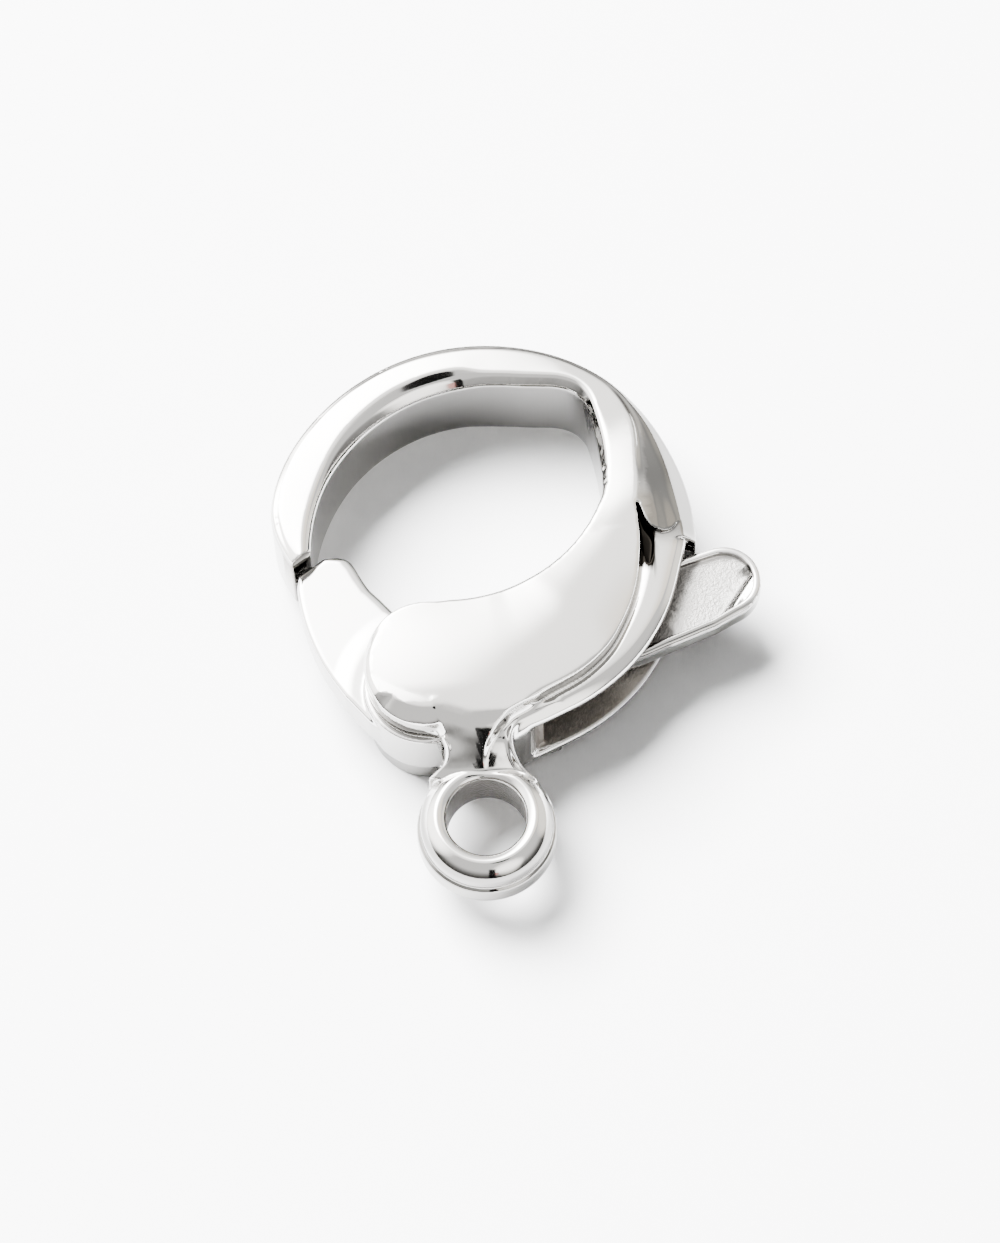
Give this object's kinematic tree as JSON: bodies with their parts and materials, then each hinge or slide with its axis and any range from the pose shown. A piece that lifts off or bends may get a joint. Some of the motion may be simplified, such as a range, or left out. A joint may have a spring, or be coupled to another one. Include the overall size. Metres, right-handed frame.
{
  "type": "lobster clasp",
  "caption": "Polished steel lobster clasp with a round hook, a sprung lever worked by a thumb tab, and a small eye at its foot.",
  "frame": {"origin": "on the resting surface, under the middle of the closed clasp's box", "axes": "+Y from the eye towards the hook, +Z the thickness, from the resting cheek to the front cheek, +X towards the thumb tab's side"},
  "size_m": [0.0129, 0.015, 0.0041],
  "materials": {
    "body": "polished cast stainless steel",
    "lever": "polished cast stainless steel, grainy in the tray",
    "pivot_pin": "drawn wire"
  },
  "bodies": {
    "body": {"body": "body", "pivot_pin": "pivot_pin"},
    "lever": {"lever": "lever"}
  },
  "joints": [
    {"name": "lever_pivot", "type": "hinge", "parent": "body", "child": "lever", "pos_m": [-0.00231, -0.00215, 0.00205], "axis": [0, 0, -1], "range_deg": [0, 25], "stiffness_Nm_per_rad": 0.009, "springref_deg": -14.32}
  ]
}
